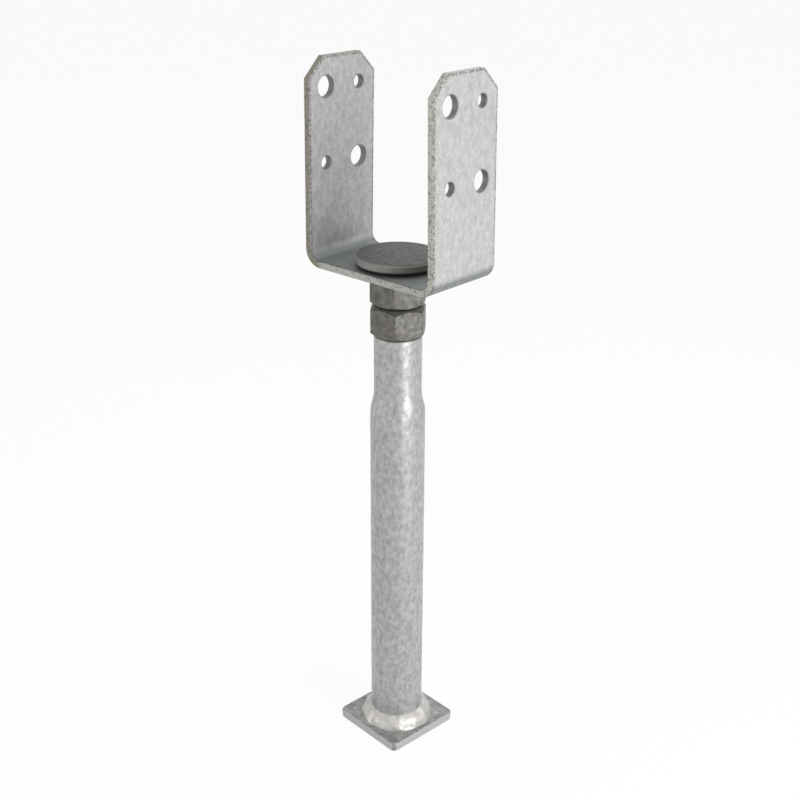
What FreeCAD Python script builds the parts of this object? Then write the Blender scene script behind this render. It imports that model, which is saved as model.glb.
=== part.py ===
import FreeCAD, Part
import math
import os

import Sketcher

# Adjustable post base for timber posts, hot-dip galvanised.
#
# A tube is welded to a square foot plate, which is the anchor that concrete closes round.
# Its upper end is swaged down to a neck that guides the adjusting screw. The adjusting nut
# sits on the end of the neck and carries the screw. The holding nut is fixed on the screw
# under the yoke, and the disc is fixed on its upper end inside the yoke, so the yoke is
# trapped between the two and turns freely. The post stands on the disc, between the arms.
#
# Frame: +Z up, origin at the centre of the foot plate's underside, X across the yoke from
# arm to arm, Y along its width. Lengths are in millimetres, angles in degrees.

SIZES = {
    # foot plate
    "plate_side": 61.2,
    "plate_thickness": 6.0,
    "plate_corner": 4.5,
    "plate_edge_bevel": 0.8,
    "plate_turn": -4.8,
    # fillet weld between the tube and the plate
    "weld_foot": 7.5,
    "weld_height": 9.0,
    "weld_crown": 0.9,
    # riser tube with its swaged neck
    "tube_diameter": 38.0,
    "tube_wall": 3.25,
    "tube_length": 307.3,
    "neck_length": 41.0,
    "neck_wall": 4.1,
    "taper_length": 17.0,
    "swage_round": 14.0,
    "neck_rim_round": 0.8,
    "guide_clearance": 0.25,
    # adjusting screw
    "screw_diameter": 24.0,
    "screw_length": 180.0,
    "screw_end_chamfer": 2.0,
    # the two hexagon nuts on the screw
    "nut_across_flats": 35.2,
    "nut_height": 20.8,
    "nut_corner_bevel": 0.8,
    "nut_face_diameter": 33.0,
    "nut_chamfer_angle": 38.0,
    "nut_mouth_chamfer": 1.2,
    "nut_gap": 0.9,
    "thread_clearance": 0.05,
    "adjusting_nut_turn": 5.9,
    "holding_nut_turn": 3.6,
    # yoke, folded from flat bar
    "yoke_width": 60.0,
    "yoke_inner_width": 103.0,
    "yoke_height": 135.6,
    "yoke_thickness": 5.0,
    "yoke_bend_radius": 7.0,
    "yoke_corner_cut": 13.0,
    "yoke_edge_bevel": 0.5,
    "arm_toe_in": 1.0,
    "swivel_clearance": 1.0,
    # holes in the arms
    "bolt_hole_diameter": 14.0,
    "nail_hole_diameter": 8.5,
    "hole_rim_bevel": 0.35,
    "hole_offset": 15.0,
    "upper_row_drop": 19.3,
    "lower_row_drop": 68.3,
    # disc on the screw's upper end
    "disc_diameter": 57.0,
    "disc_thickness": 6.0,
    "disc_edge_bevel": 1.2,
    "disc_clearance": 2.0,
}

# Heights of the pieces, each from the piece that carries it.
PLATE_TOP = "Sizes.plate_thickness"
NECK_TOP = PLATE_TOP + " + Sizes.tube_length"
HOLDING_NUT_FOOT = NECK_TOP + " + Sizes.nut_height + Sizes.nut_gap"
YOKE_FOOT = HOLDING_NUT_FOOT + " + Sizes.nut_height"
DISC_FOOT = YOKE_FOOT + " + Sizes.yoke_thickness + Sizes.disc_clearance"
SCREW_FOOT = DISC_FOOT + " - Sizes.screw_length"

# Radii shared by pieces that fit each other.
SCREW_RADIUS = "Sizes.screw_diameter / 2"
NUT_BORE_RADIUS = "(" + SCREW_RADIUS + " + Sizes.thread_clearance)"
NECK_BORE_RADIUS = "(" + SCREW_RADIUS + " + Sizes.guide_clearance)"
YOKE_BORE_RADIUS = "(" + SCREW_RADIUS + " + Sizes.swivel_clearance)"
TUBE_RADIUS = "Sizes.tube_diameter / 2"

doc = FreeCAD.newDocument("PostBase")


def make_sheet():
    """Put the driving sizes in a spreadsheet, one alias a row."""
    sheet = doc.addObject("Spreadsheet::Sheet", "Sizes")
    for row, (alias, value) in enumerate(SIZES.items(), start=1):
        sheet.set("A%d" % row, alias.replace("_", " "))
        sheet.set("B%d" % row, str(value))
        sheet.setAlias("B%d" % row, alias)
    doc.recompute()
    return sheet


sizes = make_sheet()


def bind(thing, path, expression):
    thing.setExpression(path, expression)


def new_body(label, height=None, turn=None):
    """A body named for its piece, at its own height and turned about the tube's axis."""
    body = doc.addObject("PartDesign::Body", label)
    body.Label = label
    if turn:
        body.Placement.Rotation = FreeCAD.Rotation(FreeCAD.Vector(0, 0, 1), 1)
        bind(body, "Placement.Rotation.Angle", turn + " * 1 deg")
    if height:
        bind(body, "Placement.Base.z", height)
    return body


def new_sketch(body, name, plane, lift=None):
    """A sketch on one of the body's own origin planes, lifted along the plane's normal."""
    sketch = body.newObject("Sketcher::SketchObject", name)
    role = [part for part in body.Origin.OriginFeatures if part.Role == plane][0]
    sketch.AttachmentSupport = (role, "")
    sketch.MapMode = "FlatFace"
    if lift:
        bind(sketch, "AttachmentOffset.Base.z", lift)
    return sketch


def constrain(sketch, kind, *where, size=None):
    """Add a constraint and, where it has a size, bind it to the sheet."""
    if size is None:
        return sketch.addConstraint(Sketcher.Constraint(kind, *where))
    value = float(doc_value(size))
    number = sketch.addConstraint(Sketcher.Constraint(kind, *where, value))
    bind(sketch, "Constraints[%d]" % number, size)
    return number


def doc_value(expression):
    """What an expression over the sheet comes to now, for a sketch's first drawing."""
    result = sizes.evalExpression(expression)
    return getattr(result, "Value", result)


def closed_profile(sketch, points):
    """A closed outline through points given as pairs of expressions, each corner bound."""
    drawn = [FreeCAD.Vector(doc_value(across), doc_value(up), 0) for across, up in points]
    count = len(points)
    for index in range(count):
        sketch.addGeometry(Part.LineSegment(drawn[index], drawn[(index + 1) % count]), False)
    for index in range(count):
        constrain(sketch, "Coincident", index, 2, (index + 1) % count, 1)
    for index, (across, up) in enumerate(points):
        place_point(sketch, index, 1, across, up)


def place_point(sketch, line, end, across, up):
    """Hold one point of a sketch at its distances from the origin."""
    for kind, size in (("DistanceX", across), ("DistanceY", up)):
        constrain(sketch, kind, -1, 1, line, end, size=size)


def circle(sketch, radius, across="0", up="0"):
    """A circle with its centre and radius bound."""
    centre = FreeCAD.Vector(doc_value(across), doc_value(up), 0)
    index = sketch.addGeometry(
        Part.Circle(centre, FreeCAD.Vector(0, 0, 1), doc_value(radius)), False)
    place_point(sketch, index, 3, across, up)
    constrain(sketch, "Radius", index, size=radius)


def polygon_points(count, across_flats):
    """Corners of a regular polygon as expressions, the first one on the X axis."""
    corner = "%s / 2 / cos(%s deg)" % (across_flats, 180 / count)
    return [("%s * cos(%s deg)" % (corner, 360 / count * step),
             "%s * sin(%s deg)" % (corner, 360 / count * step)) for step in range(count)]


def pad(body, sketch, name, length, midplane=False):
    feature = body.newObject("PartDesign::Pad", name)
    feature.Profile = sketch
    feature.Midplane = midplane
    bind(feature, "Length", length)
    return settle(body, feature)


def pocket_through(body, sketch, name):
    """Cut a sketch through everything, both ways."""
    feature = body.newObject("PartDesign::Pocket", name)
    feature.Profile = sketch
    feature.Type = "ThroughAll"
    feature.Midplane = True
    return settle(body, feature, cuts=True)


def turned(body, sketch, name, kind="Revolution"):
    """Revolve a profile about the body's Z axis, as material or as a cut."""
    feature = body.newObject("PartDesign::" + kind, name)
    feature.Profile = sketch
    feature.ReferenceAxis = (sketch, ["V_Axis"])
    feature.Angle = 360.0
    return settle(body, feature, cuts=kind == "Groove")


def round_edges(body, name, radius, wanted):
    """Fillet the edges of the body's tip that a test picks."""
    return dress_edges(body, "Fillet", name, {"Radius": radius}, wanted)


def bevel_edges(body, name, size, wanted):
    """Chamfer the edges of the body's tip that a test picks."""
    return dress_edges(body, "Chamfer", name, {"Size": size}, wanted)


def dress_edges(body, kind, name, bound, wanted):
    base = body.Tip
    edges = ["Edge%d" % number for number, edge in enumerate(base.Shape.Edges, start=1)
             if wanted(edge)]
    if not edges:
        raise RuntimeError("%s finds no edge on %s" % (name, body.Label))
    feature = body.newObject("PartDesign::" + kind, name)
    feature.Base = (base, edges)
    for path, expression in bound.items():
        bind(feature, path, expression)
    return settle(body, feature, cuts=None)


def settle(body, feature, cuts=False):
    """Recompute a feature and make sure that it added or took material as it should."""
    before = body.Tip.Shape.Volume if body.Tip and body.Tip is not feature else previous_volume(feature)
    doc.recompute()
    after = feature.Shape.Volume
    if cuts and not after < before - 1e-6:
        raise RuntimeError("%s on %s cuts nothing" % (feature.Label, body.Label))
    if cuts is False and not after > before + 1e-6:
        raise RuntimeError("%s on %s adds nothing" % (feature.Label, body.Label))
    return feature


def previous_volume(feature):
    base = getattr(feature, "BaseFeature", None)
    return base.Shape.Volume if base else 0.0


def one_of(edges):
    """A test for edges that are in a list."""
    return lambda edge: any(edge.isSame(listed) for listed in edges)


def is_crease(shape, edge):
    """Whether the two faces that meet at an edge turn a corner there."""
    faces = shape.ancestorsOfType(edge, Part.Face)
    middle = edge.valueAt((edge.FirstParameter + edge.LastParameter) / 2)
    normals = [face.normalAt(*face.Surface.parameter(middle)) for face in faces]
    return len(normals) == 2 and abs(normals[0].dot(normals[1])) < 0.99


def is_upright(edge):
    """A straight edge along Z."""
    return isinstance(edge.Curve, Part.Line) and abs(edge.Curve.Direction.z) > 0.999


def is_ring(edge, radius, height=None):
    """A circle about the Z axis of the given radius, at the given height in the body."""
    if not isinstance(edge.Curve, Part.Circle) or abs(edge.Curve.Axis.z) < 0.999:
        return False
    same_height = height is None or abs(edge.Curve.Center.z - height) < 1e-4
    return same_height and abs(edge.Curve.Radius - radius) < 1e-4


def foot_plate():
    """The square plate that anchors the tube, cut from flat bar with rounded corners."""
    body = new_body("foot_plate", turn="Sizes.plate_turn")
    half = "Sizes.plate_side / 2"
    sketch = new_sketch(body, "PlateOutline", "XY_Plane")
    closed_profile(sketch, [("-" + half, "-" + half), (half, "-" + half),
                            (half, half), ("-" + half, half)])
    pad(body, sketch, "Plate", "Sizes.plate_thickness")
    round_edges(body, "PlateCorners", "Sizes.plate_corner", is_upright)
    rims = {0.0, float(doc_value("Sizes.plate_thickness"))}
    bevel_edges(body, "PlateRims", "Sizes.plate_edge_bevel",
                lambda edge: edge.Vertexes[0].Z in rims and edge.Vertexes[-1].Z in rims
                and not is_upright(edge))
    return body


def foot_weld():
    """The fillet weld all round the tube's foot, crowned along its middle."""
    body = new_body("foot_weld", height=PLATE_TOP)
    sketch = new_sketch(body, "WeldSection", "XZ_Plane")
    crown = "Sizes.weld_crown"
    closed_profile(sketch, [
        (TUBE_RADIUS, "0"), ("%s + Sizes.weld_foot" % TUBE_RADIUS, "0"),
        ("%s + Sizes.weld_foot / 2 + %s" % (TUBE_RADIUS, crown),
         "Sizes.weld_height / 2 + " + crown),
        (TUBE_RADIUS, "Sizes.weld_height")])
    turned(body, sketch, "Weld")
    return body


def riser_tube():
    """The tube, swaged down at the top to a thicker neck that guides the screw."""
    body = new_body("riser_tube", height=PLATE_TOP)
    sketch = new_sketch(body, "WallSection", "XZ_Plane")
    bore = "(%s - Sizes.tube_wall)" % TUBE_RADIUS
    neck = "(%s + Sizes.neck_wall)" % NECK_BORE_RADIUS
    neck_foot = "(Sizes.tube_length - Sizes.neck_length)"
    taper_foot = "(%s - Sizes.taper_length)" % neck_foot
    closed_profile(sketch, [
        (bore, "0"), (TUBE_RADIUS, "0"), (TUBE_RADIUS, taper_foot), (neck, neck_foot),
        (neck, "Sizes.tube_length"), (NECK_BORE_RADIUS, "Sizes.tube_length"),
        (NECK_BORE_RADIUS, neck_foot), (bore, taper_foot)])
    turned(body, sketch, "Tube")
    levels = [doc_value(neck_foot), doc_value(taper_foot)]
    outside = [doc_value(neck), doc_value(TUBE_RADIUS)]
    round_edges(body, "SwageRounds", "Sizes.swage_round",
                lambda edge: any(is_ring(edge, radius, level)
                                 for radius, level in zip(outside, levels)))
    top = doc_value("Sizes.tube_length")
    round_edges(body, "NeckRim", "Sizes.neck_rim_round",
                lambda edge: is_ring(edge, outside[0], top))
    return body


def hexagon_nut(label, height, turn):
    """A forged hexagon nut: blunt corners, both ends turned to a round face."""
    body = new_body(label, height=height, turn=turn)
    outline = new_sketch(body, "Hexagon", "XY_Plane")
    closed_profile(outline, polygon_points(6, "Sizes.nut_across_flats"))
    pad(body, outline, "Blank", "Sizes.nut_height")
    bevel_edges(body, "ForgedCorners", "Sizes.nut_corner_bevel", is_upright)

    face = "Sizes.nut_face_diameter / 2"
    clear = "Sizes.nut_across_flats"
    drop = "((%s - %s) * tan(Sizes.nut_chamfer_angle * 1 deg))" % (clear, face)
    lower = new_sketch(body, "LowerChamferSection", "XZ_Plane")
    closed_profile(lower, [(face, "0"), (clear, "0"), (clear, drop)])
    turned(body, lower, "LowerChamfer", "Groove")
    upper = new_sketch(body, "UpperChamferSection", "XZ_Plane")
    closed_profile(upper, [(face, "Sizes.nut_height"), (clear, "Sizes.nut_height"),
                           (clear, "Sizes.nut_height - " + drop)])
    turned(body, upper, "UpperChamfer", "Groove")

    bore = new_sketch(body, "BoreOutline", "XY_Plane")
    circle(bore, NUT_BORE_RADIUS)
    pocket_through(body, bore, "Bore")
    bore_radius = doc_value(NUT_BORE_RADIUS)
    bevel_edges(body, "BoreMouths", "Sizes.nut_mouth_chamfer",
                lambda edge: is_ring(edge, bore_radius))
    return body


def adjusting_screw():
    """The screw that carries the yoke and the disc, with a chamfered lower end."""
    body = new_body("screw_rod", height=SCREW_FOOT)
    sketch = new_sketch(body, "ScrewSection", "XY_Plane")
    circle(sketch, SCREW_RADIUS)
    pad(body, sketch, "Screw", "Sizes.screw_length")
    radius = doc_value(SCREW_RADIUS)
    bevel_edges(body, "ScrewEnd", "Sizes.screw_end_chamfer",
                lambda edge: is_ring(edge, radius, 0.0))
    return body


def bearing_disc():
    """The round plate on the screw's upper end, which the post stands on."""
    body = new_body("bearing_disc", height=DISC_FOOT)
    sketch = new_sketch(body, "DiscOutline", "XY_Plane")
    circle(sketch, "Sizes.disc_diameter / 2")
    pad(body, sketch, "Disc", "Sizes.disc_thickness")
    radius = doc_value("Sizes.disc_diameter / 2")
    bevel_edges(body, "DiscRims", "Sizes.disc_edge_bevel", lambda edge: is_ring(edge, radius))
    return body


def yoke():
    """The U of flat bar that holds the post: folded, corners cut, arms drilled."""
    body = new_body("yoke", height=YOKE_FOOT)
    section = new_sketch(body, "FoldedSection", "XZ_Plane")
    lean = "(Sizes.arm_toe_in * 1 deg)"
    half_floor = "(Sizes.yoke_inner_width / 2)"
    half_foot = ("(%s + Sizes.yoke_thickness / cos%s + Sizes.yoke_thickness * tan%s)"
                 % (half_floor, lean, lean))
    inner_rise = "(Sizes.yoke_height - Sizes.yoke_thickness)"
    half_inner_top = "(%s - %s * tan%s)" % (half_floor, inner_rise, lean)
    half_outer_top = "(%s + Sizes.yoke_thickness / cos%s)" % (half_inner_top, lean)
    right = [(half_foot, "0"), (half_outer_top, "Sizes.yoke_height"),
             (half_inner_top, "Sizes.yoke_height"), (half_floor, "Sizes.yoke_thickness")]
    left = [("-" + across, up) for across, up in reversed(right)]
    closed_profile(section, right + left)
    pad(body, section, "FoldedBar", "Sizes.yoke_width", midplane=True)

    def crosses(edge, level):
        """A straight edge along Y at the given height."""
        return (isinstance(edge.Curve, Part.Line) and abs(edge.Curve.Direction.y) > 0.999
                and abs(edge.Vertexes[0].Z - level) < 1e-4)

    floor = doc_value("Sizes.yoke_thickness")
    round_edges(body, "InnerBends", "Sizes.yoke_bend_radius", lambda edge: crosses(edge, floor))
    round_edges(body, "OuterBends", "Sizes.yoke_bend_radius + Sizes.yoke_thickness",
                lambda edge: crosses(edge, 0.0))

    cuts = new_sketch(body, "CornerCuts", "YZ_Plane")
    for side in ("", "-"):
        cut_corner(cuts, side)
    pocket_through(body, cuts, "CutCorners")

    for name, diameter, places in (
            ("BoltHoles", "Sizes.bolt_hole_diameter", (("-", "upper"), ("", "lower"))),
            ("NailHoles", "Sizes.nail_hole_diameter", (("", "upper"), ("-", "lower")))):
        holes = new_sketch(body, name + "Outline", "YZ_Plane")
        for side, row in places:
            circle(holes, diameter + " / 2", side + "Sizes.hole_offset",
                   "Sizes.yoke_height - Sizes.%s_row_drop" % row)
        pocket_through(body, holes, name)

    bore = new_sketch(body, "ScrewHoleOutline", "XY_Plane")
    circle(bore, YOKE_BORE_RADIUS)
    pocket_through(body, bore, "ScrewHole")

    sharp = [edge for edge in body.Tip.Shape.Edges if is_crease(body.Tip.Shape, edge)]
    thickness = doc_value("Sizes.yoke_thickness")
    outline = [edge for edge in sharp if not edge.isClosed() and edge.Length > 1.2 * thickness]
    bevel_edges(body, "EasedEdges", "Sizes.yoke_edge_bevel", one_of(outline))
    drilled = [edge for edge in body.Tip.Shape.Edges
               if edge.isClosed() and edge.CenterOfMass.z > 2 * thickness]
    bevel_edges(body, "HoleRims", "Sizes.hole_rim_bevel", one_of(drilled))
    return body


def cut_corner(sketch, side):
    """The wedge that is cut off one top corner of both arms."""
    first = sketch.GeometryCount
    inner = side + "(Sizes.yoke_width / 2 - Sizes.yoke_corner_cut)"
    beyond = side + "(Sizes.yoke_width / 2 + Sizes.yoke_corner_cut)"
    top = "Sizes.yoke_height"
    over = "(Sizes.yoke_height + Sizes.yoke_corner_cut)"
    under = "(Sizes.yoke_height - 2 * Sizes.yoke_corner_cut)"
    points = [(inner, top), (inner, over), (beyond, over), (beyond, under)]
    drawn = [FreeCAD.Vector(doc_value(across), doc_value(up), 0) for across, up in points]
    for index in range(4):
        sketch.addGeometry(Part.LineSegment(drawn[index], drawn[(index + 1) % 4]), False)
    for index in range(4):
        constrain(sketch, "Coincident", first + index, 2, first + (index + 1) % 4, 1)
    for index, (across, up) in enumerate(points):
        place_point(sketch, first + index, 1, across, up)


def check(bodies):
    """Stop unless every object computed and every piece is one sound solid."""
    for thing in doc.Objects:
        if {"Invalid", "Error"} & set(thing.State):
            raise RuntimeError("%s did not compute: %s" % (thing.Label, thing.State))
    for body in bodies:
        if body.Shape.isNull() or not body.Shape.isValid() or len(body.Shape.Solids) != 1:
            raise RuntimeError("%s is not a sound solid" % body.Label)


def export(bodies):
    os.makedirs("parts", exist_ok=True)
    for body in bodies:
        body.Shape.exportStep(os.path.join("parts", body.Label + ".step"))
        print("%-14s %10.1f mm3" % (body.Label, body.Shape.Volume))


pieces = [
    foot_plate(),
    foot_weld(),
    riser_tube(),
    hexagon_nut("lower_nut", NECK_TOP, "Sizes.adjusting_nut_turn"),
    hexagon_nut("upper_nut", HOLDING_NUT_FOOT, "Sizes.holding_nut_turn"),
    adjusting_screw(),
    bearing_disc(),
    yoke(),
]
doc.recompute()
check(pieces)
export(pieces)
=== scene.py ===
"""The finish of a hot-dip galvanised adjustable post base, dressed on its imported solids."""

import math

import bpy
from mathutils import Euler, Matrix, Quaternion, Vector


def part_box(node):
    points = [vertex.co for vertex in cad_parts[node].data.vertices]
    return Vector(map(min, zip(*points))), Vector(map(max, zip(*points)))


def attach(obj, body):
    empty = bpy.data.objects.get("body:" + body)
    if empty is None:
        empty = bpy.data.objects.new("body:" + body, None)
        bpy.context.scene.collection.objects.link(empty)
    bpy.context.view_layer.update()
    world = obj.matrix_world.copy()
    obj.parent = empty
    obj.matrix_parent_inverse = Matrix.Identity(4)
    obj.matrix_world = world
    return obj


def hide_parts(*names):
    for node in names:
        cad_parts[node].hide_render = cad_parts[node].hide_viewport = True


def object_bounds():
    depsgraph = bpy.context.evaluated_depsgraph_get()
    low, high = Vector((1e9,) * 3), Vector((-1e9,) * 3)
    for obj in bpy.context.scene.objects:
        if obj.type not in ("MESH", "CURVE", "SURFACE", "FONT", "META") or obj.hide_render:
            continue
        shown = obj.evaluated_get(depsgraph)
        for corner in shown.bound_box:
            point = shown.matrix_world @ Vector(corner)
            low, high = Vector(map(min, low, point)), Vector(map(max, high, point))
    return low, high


bl_info = {
    "name": "Adjustable Post Base",
    "version": (1, 0, 0),
    "blender": (4, 5, 0),
    "location": "View3D > Sidebar > Post Base",
    "description": "Models and finishes a galvanised adjustable post base",
    "category": "Add Mesh",
}

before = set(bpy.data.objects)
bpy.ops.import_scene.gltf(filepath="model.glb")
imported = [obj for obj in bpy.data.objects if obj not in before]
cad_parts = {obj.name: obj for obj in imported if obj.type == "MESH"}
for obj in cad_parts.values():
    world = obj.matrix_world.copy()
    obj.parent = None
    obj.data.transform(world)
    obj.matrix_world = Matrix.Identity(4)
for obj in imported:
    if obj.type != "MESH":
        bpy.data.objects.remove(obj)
CAD_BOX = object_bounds()

MM = 0.001


def srgb(code):
    """A colour written as #RRGGBB, as linear values."""
    parts = [int(code[place:place + 2], 16) / 255 for place in (1, 3, 5)]
    return tuple(part / 12.92 if part <= 0.04045 else ((part + 0.055) / 1.055) ** 2.4
                 for part in parts)


def length(name, description, millimetres):
    """A property for a length, given in millimetres and kept in metres."""
    return bpy.props.FloatProperty(name=name, description=description, unit="LENGTH",
                                   default=millimetres * MM, min=0.0, precision=5)


def colour(name, description, code):
    """A property for a colour, given as #RRGGBB."""
    return bpy.props.FloatVectorProperty(name=name, description=description, subtype="COLOR",
                                         size=3, min=0.0, max=1.0, default=srgb(code))


class PostBaseSizes(bpy.types.PropertyGroup):
    """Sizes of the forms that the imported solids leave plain."""

    neck_diameter: length("Neck diameter", "Outside of the swaged neck", 32.7)
    neck_length: length("Neck length", "Straight length of the neck", 41.0)
    taper_length: length("Taper length", "Length of the swage between neck and tube", 17.0)
    tube_wall: length("Tube wall", "Wall of the tube, shown as the depth of its bore", 3.25)
    hole_offset: length("Hole offset", "From the arm's middle to each hole", 15.0)
    upper_row_drop: length("Upper row", "From the arm's top to the upper holes", 19.3)
    lower_row_drop: length("Lower row", "From the arm's top to the lower holes", 68.3)
    bolt_hole: length("Bolt hole", "Diameter of the large holes", 14.0)
    nail_hole: length("Nail hole", "Diameter of the small holes", 8.5)
    corner_cut: length("Corner cut", "What each arm's upper corners lose", 13.0)
    # Widths of the painted shade lines along the bar's edges and round each hole.
    edge_shade_width: length("Edge line", "Width of the dull line along the bar's edges", 2.2)
    hole_rim_shade_width: length("Rim line", "Width of the dull line round each hole", 0.9)
    neck_rim: length("Neck rim", "Rounding of the neck's upper rim", 0.8)
    zinc_runs: length("Zinc runs", "Height of the runs left by draining zinc", 0.35)
    thread_pitch: length("Thread pitch", "Rise of the screw's thread in one turn", 3.0)
    thread_depth: length("Thread depth", "From the thread's crest to its root", 1.84)
    thread_play: length("Thread play", "How far the crest stays inside the solid screw", 0.03)
    weld_height: length("Weld height", "How far the weld climbs the tube", 9.0)
    weld_foot: length("Weld foot", "How far the weld reaches out on the plate", 7.5)
    weld_crown: length("Weld crown", "How far the weld bulges past a straight fillet", 0.9)
    weld_lumps: length("Weld lumps", "Height of the lumps in the weld", 2.3)
    plate_corner: length("Plate corner", "Rounding of the plate's corners", 4.5)
    plate_pits: length("Plate pits", "Depth of the pits in the plate's skin", 0.22)
    plate_turn: bpy.props.FloatProperty(
        name="Plate turn", description="How the plate is turned about the tube",
        subtype="ANGLE", default=math.radians(-4.8))


class PostBaseColours(bpy.types.PropertyGroup):
    """Colours of the zinc on each piece."""

    bar_light: colour("Bar light", "Bright zinc on the yoke", "#BEBEBC")
    bar_dark: colour("Bar dark", "Grey clouds in the yoke's zinc", "#ABACAA")
    # Painted shade: the colour that darkens the yoke's floor and the foot of its arms.
    bar_floor_shade: colour("Bar floor", "Dull zinc on the yoke's floor", "#6A7171")
    bar_edge: colour("Bar edge", "Zinc on the bar's cut edges", "#B5B4AE")
    # Painted shade: the dark line laid along the bar's edges, corner cuts and hole rims.
    bar_line_shade: colour("Bar line", "Dull line along edges and hole rims", "#55544F")
    # Painted shade: the colour that darkens the walls of the holes.
    bar_hole_shade: colour("Bar hole", "Zinc on the walls of the holes", "#777774")
    # Painted highlight: the colour that lightens the disc's rounded rim and side.
    disc_rim_highlight: colour("Disc side", "Zinc on the disc's rim", "#8C8A86")
    bar_olive: colour("Bar olive", "Stained zinc on a cut edge", "#7E796A")
    tube_light: colour("Tube light", "Bright zinc on the tube", "#B8B8B7")
    tube_dark: colour("Tube dark", "Grey clouds in the tube's zinc", "#969796")
    weld_light: colour("Weld light", "Bright zinc on the weld", "#C8C6C3")
    weld_dark: colour("Weld dark", "Dull zinc in the weld's hollows", "#B2AFAC")
    plate_light: colour("Plate light", "Zinc on the plate's edges", "#A8A8A7")
    # Painted light: the colour that lightens the plate's sheared sides.
    plate_edge_light: colour("Plate edge", "Zinc on the plate's sheared sides", "#BAB9B7")
    # Dull clouds in the plate's zinc; the same colour is also painted shade along the top rim.
    plate_dark_and_rim_shade: colour("Plate dark", "Dull zinc on the plate's face", "#7C7C7B")
    nut_light: colour("Nut light", "Zinc on the nuts", "#74726E")
    nut_dark: colour("Nut dark", "Dark scale in the nuts' zinc", "#575550")
    nut_stain: colour("Nut stain", "Brown stain on the nuts", "#6E6656")
    disc_light: colour("Disc light", "Dull zinc on the disc", "#5B5957")
    disc_dark: colour("Disc dark", "Dark marks on the disc", "#504E4D")
    screw_light: colour("Screw light", "Zinc on the thread", "#8D8D8A")
    # Dark specks of dross; the same colour is also painted shade in the seam where the lower nut
    # sits on the neck.
    speck_and_seam_shade: colour("Speck", "Dark specks of dross", "#3A3833")
    floor: colour("Floor", "Pale studio floor", "#F4F4F4")


def sizes():
    """The sizes in the panel: lengths in metres and angles in radians."""
    return bpy.context.scene.post_base_sizes


def colours():
    """The colours in the panel, as linear values."""
    return bpy.context.scene.post_base_colours


# ---------------------------------------------------------------- modelling

def deselect_all():
    """Leave edit mode and select nothing."""
    if bpy.context.object and bpy.context.object.mode != "OBJECT":
        bpy.ops.object.mode_set(mode="OBJECT")
    bpy.ops.object.select_all(action="DESELECT")


def claim(name):
    """Name the primitive that was just added, and return it."""
    piece = bpy.context.object
    piece.name = name
    piece.data.name = name
    return piece


def shape(piece, kind, **settings):
    """Add a modifier and apply it."""
    modifier = piece.modifiers.new(kind.title(), kind)
    for key, value in settings.items():
        setattr(modifier, key, value)
    bpy.context.view_layer.objects.active = piece
    bpy.ops.object.modifier_apply(modifier=modifier.name)


def group_where(piece, name, test):
    """A vertex group of the vertices whose place passes a test."""
    group = piece.vertex_groups.new(name=name)
    group.add([vertex.index for vertex in piece.data.vertices if test(vertex.co)], 1.0, "REPLACE")
    return group.name


def clouds(name, grain, depth=2):
    """A cloudy texture for lumps of about one grain's width."""
    texture = bpy.data.textures.new(name, "CLOUDS")
    texture.noise_scale = grain
    texture.noise_depth = depth
    return texture


def roughen(piece, grain, height, group="", depth=2):
    """Raise and sink a skin by a cloudy pattern of the given grain and height."""
    shape(piece, "DISPLACE", texture=clouds(piece.name + "_skin", grain, depth),
          texture_coords="LOCAL", strength=height, mid_level=0.5, vertex_group=group)


def lathe(name, outline, segments):
    """A closed ring: a circle extruded through (radius, height) pairs and bridged shut."""
    deselect_all()
    radius, height = outline[0]
    bpy.ops.mesh.primitive_circle_add(vertices=segments, radius=radius, location=(0, 0, height))
    piece = claim(name)
    bpy.ops.object.transform_apply(location=True, rotation=True, scale=True)
    bpy.ops.object.mode_set(mode="EDIT")
    bpy.ops.mesh.select_all(action="SELECT")
    for next_radius, next_height in outline[1:]:
        bpy.ops.mesh.extrude_region_move(
            TRANSFORM_OT_translate={"value": (0, 0, next_height - height)})
        share = next_radius / radius
        bpy.ops.transform.resize(value=(share, share, 1), center_override=(0, 0, next_height))
        radius, height = next_radius, next_height
    bpy.ops.mesh.select_all(action="DESELECT")
    bpy.ops.mesh.select_non_manifold()
    bpy.ops.mesh.bridge_edge_loops()
    bpy.ops.mesh.select_all(action="SELECT")
    bpy.ops.mesh.normals_make_consistent(inside=False)
    bpy.ops.object.mode_set(mode="OBJECT")
    return piece


def finish_piece(piece, body, slot, material, *nodes, angle=40):
    """Smooth a piece, give it its material, and hand it over to its body."""
    deselect_all()
    piece.select_set(True)
    bpy.context.view_layer.objects.active = piece
    bpy.ops.object.shade_smooth_by_angle(angle=math.radians(angle))
    piece.data.materials.clear()
    piece.data.materials.append(material)
    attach(piece, body)
    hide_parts(*nodes)


def steps(start, end, pitch):
    """Heights from start to end, both included, no more than a pitch apart."""
    count = max(1, math.ceil(abs(end - start) / pitch))
    return [start + (end - start) * step / count for step in range(count + 1)]


def ease(share):
    """A share that starts and ends gently."""
    return share * share * (3 - 2 * share)


# ---------------------------------------------------------------- materials

def add(tree, kind, inputs=None, **settings):
    """Add one shader node with its settings, and link or set its inputs."""
    node = tree.nodes.new(kind)
    for key, value in settings.items():
        setattr(node, key, value)
    for key, value in (inputs or {}).items():
        if isinstance(value, bpy.types.NodeSocket):
            tree.links.new(value, node.inputs[key])
        else:
            node.inputs[key].default_value = value
    return node


def per_metre(millimetres):
    """The scale of a noise whose features are this wide."""
    return 1.0 / (millimetres * MM)


def opaque(colour_value):
    """A colour with full opacity, as a shader's input takes it."""
    return (*colour_value, 1.0)


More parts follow.
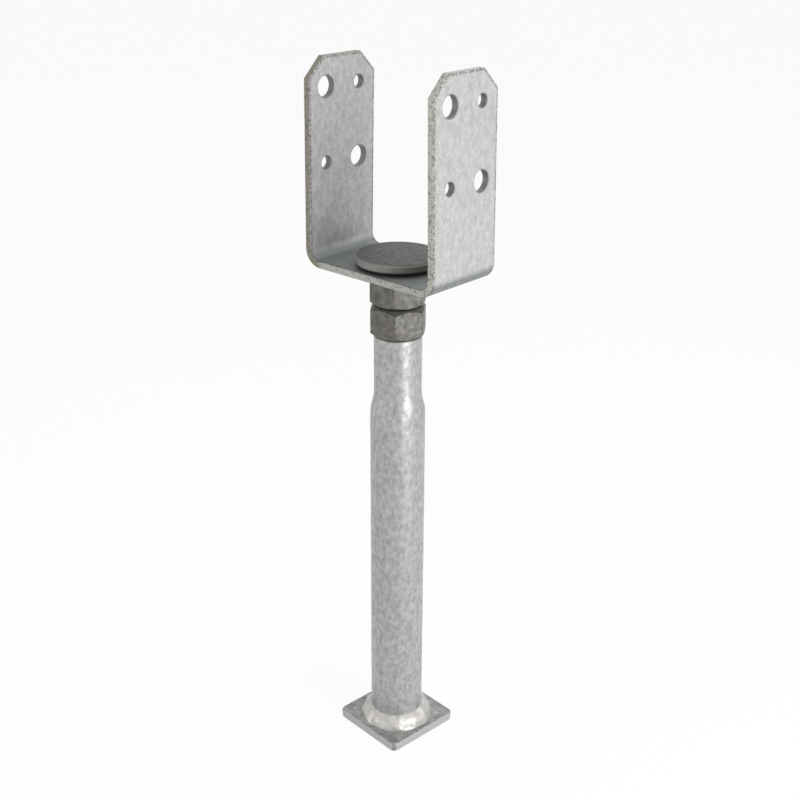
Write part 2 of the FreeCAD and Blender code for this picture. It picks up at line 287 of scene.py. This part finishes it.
def zinc(name, light, dark, cloud_mm=7.0, stretch=1.0, spangle_mm=2.6, spangle=0.10,
         speck_mm=0.9, specks=0.25, gloss=0.42, metal=0.75, relief_mm=0.25, grain_mm=1.4):
    """Hot-dip zinc. Clouds of brighter and duller grey lie over a faint spangle, the
    crystals that the zinc froze in, with small dark specks of dross. The skin is a soft
    metal, uneven over a few millimetres and finely grained, so its shine is broken up."""
    dull, shiny = gloss + 0.12, gloss - 0.08
    wave_mm, grain_share = cloud_mm * 0.6, 0.35
    material = bpy.data.materials.new(name)
    material.use_nodes = True
    tree = material.node_tree
    tree.nodes.clear()
    place = add(tree, "ShaderNodeTexCoord").outputs["Object"]
    drawn = add(tree, "ShaderNodeMapping", {"Vector": place, "Scale": (1, 1, 1 / stretch)})
    drawn = drawn.outputs["Vector"]

    cloud = add(tree, "ShaderNodeTexNoise", {
        "Vector": drawn, "Scale": per_metre(cloud_mm), "Detail": 7.0, "Roughness": 0.62})
    cloud = cloud.outputs["Fac"]
    share = add(tree, "ShaderNodeMapRange", {
        "Value": cloud, "From Min": 0.36, "From Max": 0.64}).outputs["Result"]
    skin = add(tree, "ShaderNodeMix", {
        "Factor": share, "A": opaque(dark), "B": opaque(light)},
        data_type="RGBA").outputs["Result"]

    crystals = add(tree, "ShaderNodeTexVoronoi", {
        "Vector": place, "Scale": per_metre(spangle_mm)}).outputs["Color"]
    crystals = add(tree, "ShaderNodeSeparateColor", {"Color": crystals}).outputs["Red"]
    crystals = add(tree, "ShaderNodeMapRange", {
        "Value": crystals, "To Min": 1.0 - spangle, "To Max": 1.0 + spangle}).outputs["Result"]
    skin = add(tree, "ShaderNodeMix", {
        "Factor": 1.0, "A": skin, "B": crystals},
        data_type="RGBA", blend_type="MULTIPLY").outputs["Result"]

    dross = add(tree, "ShaderNodeTexNoise", {
        "Vector": place, "Scale": per_metre(speck_mm), "Detail": 3.0}).outputs["Fac"]
    dross = add(tree, "ShaderNodeMapRange", {
        "Value": dross, "From Min": 0.62, "From Max": 0.72, "To Max": specks}).outputs["Result"]
    skin = add(tree, "ShaderNodeMix", {
        "Factor": dross, "A": skin, "B": opaque(colours().speck_and_seam_shade)},
        data_type="RGBA").outputs["Result"]

    rough = add(tree, "ShaderNodeMapRange", {
        "Value": cloud, "From Min": 0.3, "From Max": 0.7,
        "To Min": dull, "To Max": shiny}).outputs["Result"]

    waves = add(tree, "ShaderNodeTexNoise", {
        "Vector": drawn, "Scale": per_metre(wave_mm), "Detail": 2.0}).outputs["Fac"]
    grain = add(tree, "ShaderNodeTexNoise", {
        "Vector": place, "Scale": per_metre(grain_mm), "Detail": 4.0}).outputs["Fac"]
    height = add(tree, "ShaderNodeMath", {0: grain, 1: grain_share, 2: waves},
                 operation="MULTIPLY_ADD").outputs["Value"]
    bumps = add(tree, "ShaderNodeBump", {
        "Height": height, "Strength": 1.0, "Distance": relief_mm * MM}).outputs["Normal"]

    shader = add(tree, "ShaderNodeBsdfPrincipled", {
        "Base Color": skin, "Metallic": metal, "Roughness": rough, "Normal": bumps},
        label="Zinc skin")
    add(tree, "ShaderNodeOutputMaterial", {"Surface": shader.outputs["BSDF"]})
    return material


def skin_of(material):
    """A finish's tree, its shader, the colour that reaches it, and the object's place."""
    tree = material.node_tree
    shader = next(node for node in tree.nodes if node.type == "BSDF_PRINCIPLED")
    place = next(node for node in tree.nodes if node.type == "TEX_COORD").outputs["Object"]
    return tree, shader, shader.inputs["Base Color"].links[0].from_socket, place


def tint(material, mask, shade, strength=1.0):
    """Lay another colour over a finish where a mask says."""
    tree, shader, skin, _ = skin_of(material)
    share = add(tree, "ShaderNodeMath", {0: mask, 1: strength},
                operation="MULTIPLY", use_clamp=True).outputs["Value"]
    mixed = add(tree, "ShaderNodeMix", {"Factor": share, "A": skin, "B": opaque(shade)},
                data_type="RGBA")
    tree.links.new(mixed.outputs["Result"], shader.inputs["Base Color"])


def along(material, direction, start, end):
    """A mask that grows from 0 to 1 along a direction, between two distances in metres."""
    tree, _, _, place = skin_of(material)
    reach = add(tree, "ShaderNodeVectorMath", {0: place, 1: direction},
                operation="DOT_PRODUCT").outputs["Value"]
    return add(tree, "ShaderNodeMapRange", {
        "Value": reach, "From Min": start, "From Max": end}).outputs["Result"]


def patches(material, width_mm, low=0.5, high=0.6, stretch=1.0):
    """A mask of soft irregular patches about this wide."""
    tree, _, _, place = skin_of(material)
    drawn = add(tree, "ShaderNodeMapping", {
        "Vector": place, "Location": (0.013, 0.037, 0.0), "Scale": (1, 1, 1 / stretch)})
    noise = add(tree, "ShaderNodeTexNoise", {
        "Vector": drawn.outputs["Vector"], "Scale": per_metre(width_mm), "Detail": 4.0})
    return add(tree, "ShaderNodeMapRange", {
        "Value": noise.outputs["Fac"], "From Min": low, "From Max": high}).outputs["Result"]


def both(material, first, second, operation="MULTIPLY"):
    """Two masks combined."""
    return add(material.node_tree, "ShaderNodeMath", {0: first, 1: second},
               operation=operation).outputs["Value"]


def bar_zinc():
    """Zinc on folded flat bar: light, streaked up and down as it drained, with stained
    and speckled cut edges, and painted shade darkening the floor that the light hardly reaches."""
    shades = colours()
    material = zinc("galvanised_flat_bar", shades.bar_light, shades.bar_dark, cloud_mm=3.5,
                    stretch=1.6, spangle_mm=1.6, spangle=0.07, specks=0.30, gloss=0.5,
                    metal=0.45, relief_mm=0.10)
    low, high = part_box("yoke")
    shade_below, fade = low.z + 11 * MM, 4 * MM
    # Painted shade: the floor and the foot of the arms are darkened towards this colour.
    floor = along(material, (0, 0, -1), -shade_below, -shade_below + fade)
    tint(material, floor, shades.bar_floor_shade, 0.8)
    shade_edges(material, high)
    return material


def shade_edges(material, high):
    """Painted shade along edges, corner cuts, hole rims and hole walls; stained cut edges."""
    size, shades = sizes(), colours()
    cut_face = 0.12 * MM
    stain_start, stain_end = high.x - 16 * MM, high.x - 10 * MM
    tree, _, _, place = skin_of(material)
    split = add(tree, "ShaderNodeSeparateXYZ", {"Vector": place}).outputs
    across = add(tree, "ShaderNodeMath", {0: split["Y"]}, operation="ABSOLUTE").outputs["Value"]
    margin = add(tree, "ShaderNodeMath", {0: high.y, 1: across}, operation="SUBTRACT")
    top = add(tree, "ShaderNodeMath", {0: high.z, 1: split["Z"]}, operation="SUBTRACT")
    margin, top = margin.outputs["Value"], top.outputs["Value"]
    cut = both(material, both(material, margin, top, "ADD"), size.corner_cut, "SUBTRACT")
    cut = both(material, cut, math.sqrt(0.5))
    outline = both(material, both(material, margin, top, "MINIMUM"), cut, "MINIMUM")
    rims = []
    for side, drop, bore in ((-1, size.upper_row_drop, size.bolt_hole),
                             (1, size.upper_row_drop, size.nail_hole),
                             (1, size.lower_row_drop, size.bolt_hole),
                             (-1, size.lower_row_drop, size.nail_hole)):
        flat = add(tree, "ShaderNodeCombineXYZ", {"Y": split["Y"], "Z": split["Z"]})
        away = add(tree, "ShaderNodeVectorMath", {
            0: flat.outputs["Vector"], 1: (0, side * size.hole_offset, high.z - drop)},
            operation="DISTANCE").outputs["Value"]
        rims.append(both(material, away, bore / 2, "SUBTRACT"))
    holes = rims[0]
    for rim in rims[1:]:
        holes = both(material, holes, rim, "MINIMUM")
    # Painted shade: a dark line round each hole's rim.
    tint(material, near(material, holes, size.hole_rim_shade_width), shades.bar_line_shade, 0.5)
    # Painted shade: a broken dark line along the edges and corner cuts.
    line = near(material, outline, size.edge_shade_width)
    broken = both(material, line, patches(material, 1.3, 0.40, 0.56))
    tint(material, broken, shades.bar_line_shade, 0.75)
    # Painted shade on the walls of the holes.
    tint(material, near(material, holes, cut_face), shades.bar_hole_shade, 0.9)
    edge = near(material, outline, cut_face)
    tint(material, edge, shades.bar_edge, 0.85)
    left = along(material, (-1, 0, 0), stain_start, stain_end)
    tint(material, both(material, edge, left), shades.bar_olive, 0.85)
    tint(material, both(material, edge, patches(material, 1.6, 0.56, 0.62)), shades.speck_and_seam_shade, 0.6)


def near(material, distance, reach):
    """A mask of what lies within a reach, from a distance."""
    return add(material.node_tree, "ShaderNodeMapRange", {
        "Value": distance, "From Min": reach, "From Max": reach / 2}).outputs["Result"]


def from_axis(material):
    """How far each point lies from the upright axis of the tube."""
    tree, _, _, place = skin_of(material)
    flat = add(tree, "ShaderNodeVectorMath", {0: place, 1: (1, 1, 0)}, operation="MULTIPLY")
    return add(tree, "ShaderNodeVectorMath", {0: flat.outputs["Vector"]},
               operation="LENGTH").outputs["Value"]


def tube_zinc():
    """Zinc on drawn tube: satin, clouded, with long soft runs towards the foot."""
    shades = colours()
    material = zinc("galvanised_tube", shades.tube_light, shades.tube_dark, cloud_mm=3.2,
                    stretch=1.5, spangle_mm=2.0, spangle=0.04, specks=0.22, gloss=0.38,
                    metal=0.6, relief_mm=0.12)
    neck_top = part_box("riser_tube")[1].z
    seam_shade_start, seam_shade_end = neck_top - 1.3 * MM, neck_top - 0.7 * MM
    # Painted shade: a dark line round the neck's top, in the seam under the lower nut.
    tint(material, along(material, (0, 0, 1), seam_shade_start, seam_shade_end), shades.speck_and_seam_shade, 0.85)
    return material


def weld_zinc():
    """Zinc over a weld: it pools in the ripples and stays the brightest on the part."""
    shades = colours()
    return zinc("galvanised_weld", shades.weld_light, shades.weld_dark, cloud_mm=5.0,
                spangle_mm=3.0, spangle=0.03, specks=0.04, gloss=0.40, metal=0.5,
                relief_mm=0.12)


def plate_zinc():
    """Zinc on a sheared plate: dull grey, speckled and pitted, with painted shade along the top
    rim and painted light on the sides.
    """
    shades = colours()
    material = zinc("galvanised_plate", shades.plate_light, shades.plate_dark_and_rim_shade, cloud_mm=5.0,
                    spangle_mm=1.6, spangle=0.12, specks=0.7, speck_mm=1.1, gloss=0.45,
                    metal=0.5, relief_mm=0.2)
    tree, _, _, place = skin_of(material)
    square = add(tree, "ShaderNodeMapping", {
        "Vector": place, "Rotation": (0, 0, -sizes().plate_turn)}).outputs["Vector"]
    square = add(tree, "ShaderNodeVectorMath", {0: square}, operation="ABSOLUTE")
    square = add(tree, "ShaderNodeSeparateXYZ", {"Vector": square.outputs["Vector"]}).outputs
    top_rim_shade_width, side_light_width = 1.8 * MM, 0.7 * MM
    reach = both(material, square["X"], square["Y"], "MAXIMUM")
    margin = both(material, plate_side() / 2, reach, "SUBTRACT")
    # Painted shade: a dark line along the top rim of the plate.
    tint(material, near(material, margin, top_rim_shade_width), shades.plate_dark_and_rim_shade, 0.6)
    # Painted light: the plate's sides are lightened.
    tint(material, near(material, margin, side_light_width), shades.plate_edge_light, 0.8)
    return material


def nut_zinc():
    """Thin zinc on a forged nut: dark, grainy, stained brown in patches."""
    shades = colours()
    material = zinc("galvanised_forged_nut", shades.nut_light, shades.nut_dark, cloud_mm=4.0,
                    spangle_mm=1.6, spangle=0.05, specks=0.2, gloss=0.46, metal=0.45,
                    relief_mm=0.14, grain_mm=1.0)
    tint(material, patches(material, 9.0), shades.nut_stain, 0.22)
    return material


def disc_zinc():
    """Thin dull zinc on a turned disc, with faint rings from the tool and a painted highlight on
    its rim and side.
    """
    shades = colours()
    material = zinc("galvanised_turned_disc", shades.disc_light, shades.disc_dark,
                    cloud_mm=4.0, spangle_mm=1.6, spangle=0.03, specks=0.12, gloss=0.55,
                    metal=0.35, relief_mm=0.08)
    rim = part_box("bearing_disc")[1].x
    rings, ring_width = (0.42, 0.78), 0.7 * MM
    highlight_start, highlight_end = rim - 1.1 * MM, rim - 0.6 * MM
    away = from_axis(material)
    for ring in rings:
        off = both(material, away, ring * rim, "SUBTRACT")
        off = add(material.node_tree, "ShaderNodeMath", {0: off}, operation="ABSOLUTE")
        tint(material, near(material, off.outputs["Value"], ring_width), shades.disc_dark, 0.5)
    # Painted highlight: the rounded rim and the side are lightened.
    side = add(material.node_tree, "ShaderNodeMapRange", {
        "Value": away, "From Min": highlight_start, "From Max": highlight_end})
    tint(material, side.outputs["Result"], shades.disc_rim_highlight, 0.8)
    return material


def screw_zinc():
    """Zinc on a cut thread: dull in the roots and rubbed on the crests."""
    shades = colours()
    return zinc("galvanised_screw_thread", shades.screw_light, shades.nut_dark, cloud_mm=3.0,
                spangle_mm=1.5, spangle=0.08, specks=0.3, gloss=0.4, metal=0.8,
                relief_mm=0.08)


# ---------------------------------------------------------------- operators

class POSTBASE_OT_tube(bpy.types.Operator):
    """Turn the swaged tube's outline and give its skin the runs of drained zinc"""
    bl_idname = "post_base.tube"
    bl_label = "Riser Tube"

    def execute(self, context):
        size = sizes()
        low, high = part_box("riser_tube")
        radius, neck = high.x, size.neck_diameter / 2
        neck_foot = high.z - size.neck_length
        taper_foot = neck_foot - size.taper_length
        rim = size.neck_rim
        ring_pitch, taper_steps, around = 4 * MM, 6, 96
        run_width = 14 * MM
        outline = [(radius, z) for z in steps(low.z, taper_foot, ring_pitch)]
        outline += [(radius + (neck - radius) * ease(step / taper_steps),
                     taper_foot + size.taper_length * step / taper_steps)
                    for step in range(1, taper_steps)]
        outline += [(neck, z) for z in steps(neck_foot, high.z - rim, ring_pitch)]
        outline += [(neck - rim * (1 - math.cos(turn)), high.z - rim * (1 - math.sin(turn)))
                    for turn in (math.pi / 6, math.pi / 3, math.pi / 2)]
        bore = neck - size.tube_wall - 1.2 * rim
        outline += [(bore, high.z), (bore, neck_foot), (radius - size.tube_wall, taper_foot),
                    (radius - size.tube_wall, low.z)]
        piece = lathe("tube", outline, around)
        outside = group_where(piece, "outside", lambda at: at.xy.length > neck - rim
                              and low.z + 2 * MM < at.z < high.z - 1.5 * rim)
        roughen(piece, run_width, size.zinc_runs, outside)
        finish_piece(piece, "foot", "tube_zinc", tube_zinc(), "riser_tube")
        return {"FINISHED"}


class POSTBASE_OT_weld(bpy.types.Operator):
    """Lay the lumpy fillet weld round the tube's foot"""
    bl_idname = "post_base.weld"
    bl_label = "Foot Weld"

    def execute(self, context):
        size = sizes()
        low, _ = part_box("foot_weld")
        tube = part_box("riser_tube")[1].x
        toe = tube + size.weld_foot
        hidden, sunk = 0.6 * MM, 0.2 * MM
        face_steps, around, lump_width = 14, 144, 8 * MM
        outline = [(toe, low.z - sunk)]
        for step in range(face_steps + 1):
            share = step / face_steps
            bulge = size.weld_crown * math.sin(math.pi * share)
            outline.append((toe - size.weld_foot * share + bulge,
                            low.z + size.weld_height * share + bulge))
        outline += [(tube - hidden, low.z + size.weld_height),
                    (tube - hidden, low.z - sunk)]
        piece = lathe("weld_bead", outline, around)
        outside = group_where(piece, "outside",
                              lambda at: at.xy.length > tube - hidden / 2 and at.z > low.z)
        roughen(piece, lump_width, size.weld_lumps, outside, depth=1)
        finish_piece(piece, "foot", "weld_zinc", weld_zinc(), "foot_weld", angle=70)
        return {"FINISHED"}


class POSTBASE_OT_plate(bpy.types.Operator):
    """Shape the sheared foot plate with its rounded corners and pitted skin"""
    bl_idname = "post_base.plate"
    bl_label = "Foot Plate"

    def execute(self, context):
        size = sizes()
        low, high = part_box("foot_plate")
        thickness = high.z - low.z
        side = plate_side()
        cell, pit_width, level_foot = 0.8 * MM, 3.0 * MM, 0.9 * MM
        deselect_all()
        bpy.ops.mesh.primitive_cube_add(size=1, location=(0, 0, low.z + thickness / 2),
                                        scale=(side, side, thickness))
        piece = claim("plate")
        bpy.ops.object.transform_apply(location=True, rotation=True, scale=True)
        bpy.ops.object.mode_set(mode="EDIT")
        # In edge mode the upright edges stay the only ones selected, though they touch
        # every corner of the blank.
        bpy.ops.mesh.select_mode(type="EDGE")
        bpy.ops.mesh.select_all(action="DESELECT")
        bpy.ops.object.mode_set(mode="OBJECT")
        for edge in piece.data.edges:
            ends = [piece.data.vertices[index].co for index in edge.vertices]
            edge.select = abs(ends[0].z - ends[1].z) > thickness / 2
        bpy.ops.object.mode_set(mode="EDIT")
        bpy.ops.mesh.bevel(offset=size.plate_corner, segments=6)
        bpy.ops.object.mode_set(mode="OBJECT")
        # The skin is meshed while the plate is square to the axes, so its sides stay straight.
        shape(piece, "REMESH", mode="VOXEL", voxel_size=cell)
        bpy.ops.object.mode_set(mode="EDIT")
        bpy.ops.mesh.select_all(action="SELECT")
        bpy.ops.transform.rotate(value=-size.plate_turn, orient_axis="Z",
                                 center_override=(0, 0, 0))
        bpy.ops.object.mode_set(mode="OBJECT")
        skin = group_where(piece, "skin", lambda at: at.z > low.z + level_foot)
        roughen(piece, pit_width, size.plate_pits, skin, depth=3)
        shape(piece, "SMOOTH", factor=0.4, iterations=1, vertex_group=skin)
        finish_piece(piece, "foot", "plate_zinc", plate_zinc(), "foot_plate", angle=50)
        return {"FINISHED"}


def plate_side():
    """Side of the square plate, worked out from the box that it fills as it stands turned."""
    corner, turn = sizes().plate_corner, abs(sizes().plate_turn)
    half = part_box("foot_plate")[1].x
    return 2 * (corner + (half - corner) / (math.cos(turn) + math.sin(turn)))


class POSTBASE_OT_screw(bpy.types.Operator):
    """Cut the right-hand thread on the adjusting screw"""
    bl_idname = "post_base.screw"
    bl_label = "Adjusting Screw"

    def execute(self, context):
        size = sizes()
        low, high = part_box("screw_rod")
        crest = high.x - size.thread_play
        root = crest - size.thread_depth
        around, up = 40, 20
        deselect_all()
        bpy.ops.mesh.primitive_circle_add(vertices=around, radius=crest,
                                          location=(0, 0, low.z))
        piece = claim("screw_thread")
        bpy.ops.object.transform_apply(location=True, rotation=True, scale=True)
        for vertex in piece.data.vertices:
            turn = math.atan2(vertex.co.y, vertex.co.x) / (2 * math.pi)
            radius = root + (crest - root) * thread_height(abs(turn) * 2)
            vertex.co.xy = vertex.co.xy.normalized() * radius
        turns = int((high.z - low.z) / size.thread_pitch)
        shape(piece, "SCREW", axis="Z", angle=2 * math.pi, iterations=turns,
              screw_offset=size.thread_pitch, steps=up, render_steps=up,
              use_merge_vertices=False)
        bpy.context.view_layer.objects.active = piece
        bpy.ops.object.mode_set(mode="EDIT")
        bpy.ops.mesh.select_all(action="DESELECT")
        bpy.ops.mesh.select_non_manifold()
        bpy.ops.mesh.fill_holes(sides=0)
        bpy.ops.mesh.select_all(action="SELECT")
        bpy.ops.mesh.normals_make_consistent(inside=False)
        bpy.ops.object.mode_set(mode="OBJECT")
        finish_piece(piece, "screw", "screw_zinc", screw_zinc(), "screw_rod", angle=30)
        return {"FINISHED"}


def thread_height(share):
    """Height of a thread between root (0) and crest (1), over half a pitch from the root."""
    root_flat, crest_flat = 0.25, 0.125
    return min(1.0, max(0.0, (share - root_flat) / (1 - root_flat - crest_flat)))


class POSTBASE_OT_finishes(bpy.types.Operator):
    """Give the yoke, the disc and the nuts their zinc"""
    bl_idname = "post_base.finishes"
    bl_label = "Finishes"

    def execute(self, context):
        nut = nut_zinc()
        finishes = {"yoke": bar_zinc(), "bearing_disc": disc_zinc(),
                    "lower_nut": nut, "upper_nut": nut}
        for node, material in finishes.items():
            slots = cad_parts[node].data.materials
            slots.clear()
            slots.append(material)
        return {"FINISHED"}


class POSTBASE_OT_stage(bpy.types.Operator):
    """Set the pale floor, the soft lights, the white surroundings and the camera"""
    bl_idname = "post_base.stage"
    bl_label = "Stage"

    def execute(self, context):
        lay_floor()
        light_world()
        soft_light("key", (1.25, 0.15, 1.0), 1.0, 1.0, 10.5)
        soft_light("fill", (-0.75, -1.2, 0.55), 0.9, 0.9, 3.5)
        soft_light("top", (-0.1, 0.3, 1.6), 1.2, 1.2, 7.0)
        soft_light("strip", (0.66, -0.08, 0.22), 0.38, 0.42, 1.7)
        aim_camera()
        context.scene.view_settings.view_transform = "Standard"
        return {"FINISHED"}


def lay_floor():
    """A wide floor, nearly white where it is seen, that keeps a faint soft shadow."""
    width, glow_share = 40, 0.93
    deselect_all()
    bpy.ops.mesh.primitive_plane_add(size=width, location=(0, 0, 0))
    floor = claim("studio_floor")
    material = bpy.data.materials.new("matt_white_paper")
    material.use_nodes = True
    tree = material.node_tree
    tree.nodes.clear()
    paper = add(tree, "ShaderNodeBsdfDiffuse", {"Color": opaque(colours().floor)})
    glow = add(tree, "ShaderNodeEmission", {"Color": (1, 1, 1, 1), "Strength": 1.0})
    seen = add(tree, "ShaderNodeMath", {0: seen_rays(tree), 1: glow_share}, operation="MULTIPLY")
    mixed = add(tree, "ShaderNodeMixShader", {
        0: seen.outputs["Value"], 1: paper.outputs["BSDF"], 2: glow.outputs["Emission"]})
    add(tree, "ShaderNodeOutputMaterial", {"Surface": mixed.outputs["Shader"]})
    floor.data.materials.append(material)


def seen_rays(tree):
    """1 for rays that show a surface: straight to the camera, in a gloss or through glass."""
    path = add(tree, "ShaderNodeLightPath").outputs
    pair = add(tree, "ShaderNodeMath", {
        0: path["Is Camera Ray"], 1: path["Is Glossy Ray"]}, operation="ADD")
    return add(tree, "ShaderNodeMath", {
        0: pair.outputs["Value"], 1: path["Is Transmission Ray"]},
        operation="ADD", use_clamp=True).outputs["Value"]


def light_world():
    """White surroundings where they are seen, and a plain soft light elsewhere."""
    lighting, white = 0.40, 1.0
    world = bpy.data.worlds.new("studio")
    world.use_nodes = True
    tree = world.node_tree
    tree.nodes.clear()
    level = add(tree, "ShaderNodeMapRange", {
        "Value": seen_rays(tree), "To Min": lighting, "To Max": white}).outputs["Result"]
    light = add(tree, "ShaderNodeBackground", {"Color": (1, 1, 1, 1), "Strength": level})
    add(tree, "ShaderNodeOutputWorld", {"Surface": light.outputs["Background"]})
    bpy.context.scene.world = world


def soft_light(name, place, width, height, power):
    """A soft light of the given width and height that looks at the middle of the part."""
    deselect_all()
    bpy.ops.object.light_add(type="AREA", location=place)
    lamp = bpy.context.object
    lamp.name = name + "_light"
    lamp.data.shape = "RECTANGLE"
    lamp.data.size = width
    lamp.data.size_y = height
    lamp.data.energy = power
    middle = Vector((0, 0, CAD_BOX[1][2] / 2))
    lamp.rotation_euler = (middle - Vector(place)).to_track_quat("-Z", "Y").to_euler()


def aim_camera():
    """The camera stands to the front and right, above the part and looking down on it."""
    bearing, heading = math.radians(42.421), math.radians(42.313)
    downward, roll_angle = math.radians(23.220), math.radians(0.295)
    away, height = 0.79639, 0.60602
    place = (away * math.sin(bearing), -away * math.cos(bearing), height)
    level = Euler((math.pi / 2 - downward, 0, heading)).to_quaternion()
    roll = Quaternion((0, 0, 1), roll_angle)
    bpy.ops.object.camera_add(location=place, rotation=(level @ roll).to_euler())
    camera = bpy.context.object
    camera.name = "studio_camera"
    camera.data.lens = 56.81
    camera.data.sensor_width = 36.0
    bpy.context.scene.camera = camera


class POSTBASE_PT_panel(bpy.types.Panel):
    """Lists the pieces, their sizes and their colours"""
    bl_idname = "POSTBASE_PT_panel"
    bl_label = "Adjustable Post Base"
    bl_space_type = "VIEW_3D"
    bl_region_type = "UI"
    bl_category = "Post Base"

    def draw(self, context):
        for group in (context.scene.post_base_sizes, context.scene.post_base_colours):
            box = self.layout.box()
            for name in group.bl_rna.properties.keys():
                if name not in ("rna_type", "name"):
                    box.prop(group, name)
        for operator in OPERATORS:
            self.layout.operator(operator.bl_idname)


OPERATORS = (POSTBASE_OT_plate, POSTBASE_OT_weld, POSTBASE_OT_tube, POSTBASE_OT_screw,
             POSTBASE_OT_finishes, POSTBASE_OT_stage)
CLASSES = (PostBaseSizes, PostBaseColours, *OPERATORS, POSTBASE_PT_panel)


def register():
    for cls in CLASSES:
        bpy.utils.register_class(cls)
    bpy.types.Scene.post_base_sizes = bpy.props.PointerProperty(type=PostBaseSizes)
    bpy.types.Scene.post_base_colours = bpy.props.PointerProperty(type=PostBaseColours)


def unregister():
    del bpy.types.Scene.post_base_colours
    del bpy.types.Scene.post_base_sizes
    for cls in reversed(CLASSES):
        bpy.utils.unregister_class(cls)


def main():
    register()
    for operator in OPERATORS:
        group, name = operator.bl_idname.split(".")
        getattr(getattr(bpy.ops, group), name)()


if __name__ == "__main__":
    main()
